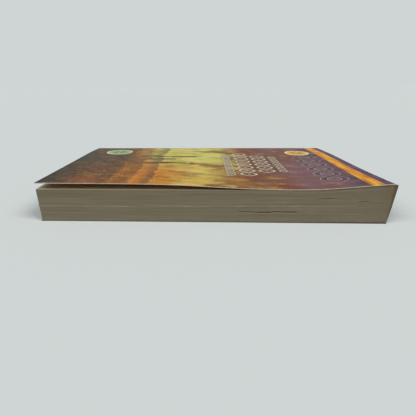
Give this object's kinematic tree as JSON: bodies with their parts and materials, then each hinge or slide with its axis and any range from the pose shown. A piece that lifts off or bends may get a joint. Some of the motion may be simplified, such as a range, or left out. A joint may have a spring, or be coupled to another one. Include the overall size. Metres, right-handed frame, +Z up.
{
  "type": "paperback book",
  "caption": "Small perfect-bound paperback book lying on its back cover, with page block, bound-in card, spine glue and a card cover whose front and back panels open at the spine folds.",
  "frame": {"origin": "centre of the bounding box on the surface the book lies on, under the back cover", "axes": "+X along the spine from foot to head, +Y from the fore edge to the spine, +Z up through the pages to the front cover"},
  "size_m": [0.1762, 0.107, 0.0206],
  "materials": {
    "pages": "matte",
    "insert_card": "matte",
    "glue": "satin",
    "cover_spine": "gloss varnish",
    "front_cover": "gloss varnish",
    "back_cover": "gloss varnish"
  },
  "bodies": {
    "page_block": {"text_block": "pages", "insert_card": "insert_card", "spine_glue": "glue", "cover_spine": "cover_spine"},
    "front_cover": {"front_cover": "front_cover"},
    "back_cover": {"back_cover": "back_cover"}
  },
  "joints": [
    {"name": "front_cover_fold", "type": "hinge", "parent": "page_block", "child": "front_cover", "pos_m": [0, 0.05335, 0.01745], "axis": [-1, 0, 0], "range_deg": [0, 180]},
    {"name": "back_cover_fold", "type": "hinge", "parent": "page_block", "child": "back_cover", "pos_m": [0, 0.05335, 0.00015], "axis": [1, 0, 0], "range_deg": [0, 180]}
  ]
}
